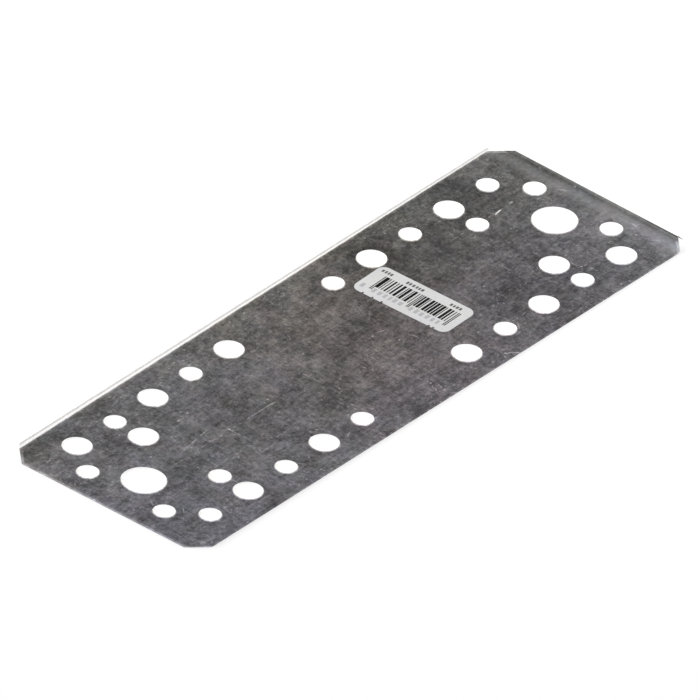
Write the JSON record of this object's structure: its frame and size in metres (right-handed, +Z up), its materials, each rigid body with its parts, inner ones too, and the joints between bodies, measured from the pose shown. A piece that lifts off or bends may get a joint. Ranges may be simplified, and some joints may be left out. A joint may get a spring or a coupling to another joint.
{
  "type": "mending plate",
  "caption": "Flat galvanised steel connector plate with cut corners and round holes in three sizes, with a paper price label on its top face.",
  "frame": {"origin": "middle of the underside", "axes": "+X along the plate, +Y across it, +Z up out of the top face, which carries the label"},
  "size_m": [0.197, 0.065, 0.0021],
  "materials": {
    "galvanised_steel": "hot-dip galvanised, dull and mottled",
    "label_paper": "matt"
  },
  "bodies": {
    "root": {"plate": "galvanised_steel", "label": "label_paper"}
  },
  "joints": []
}
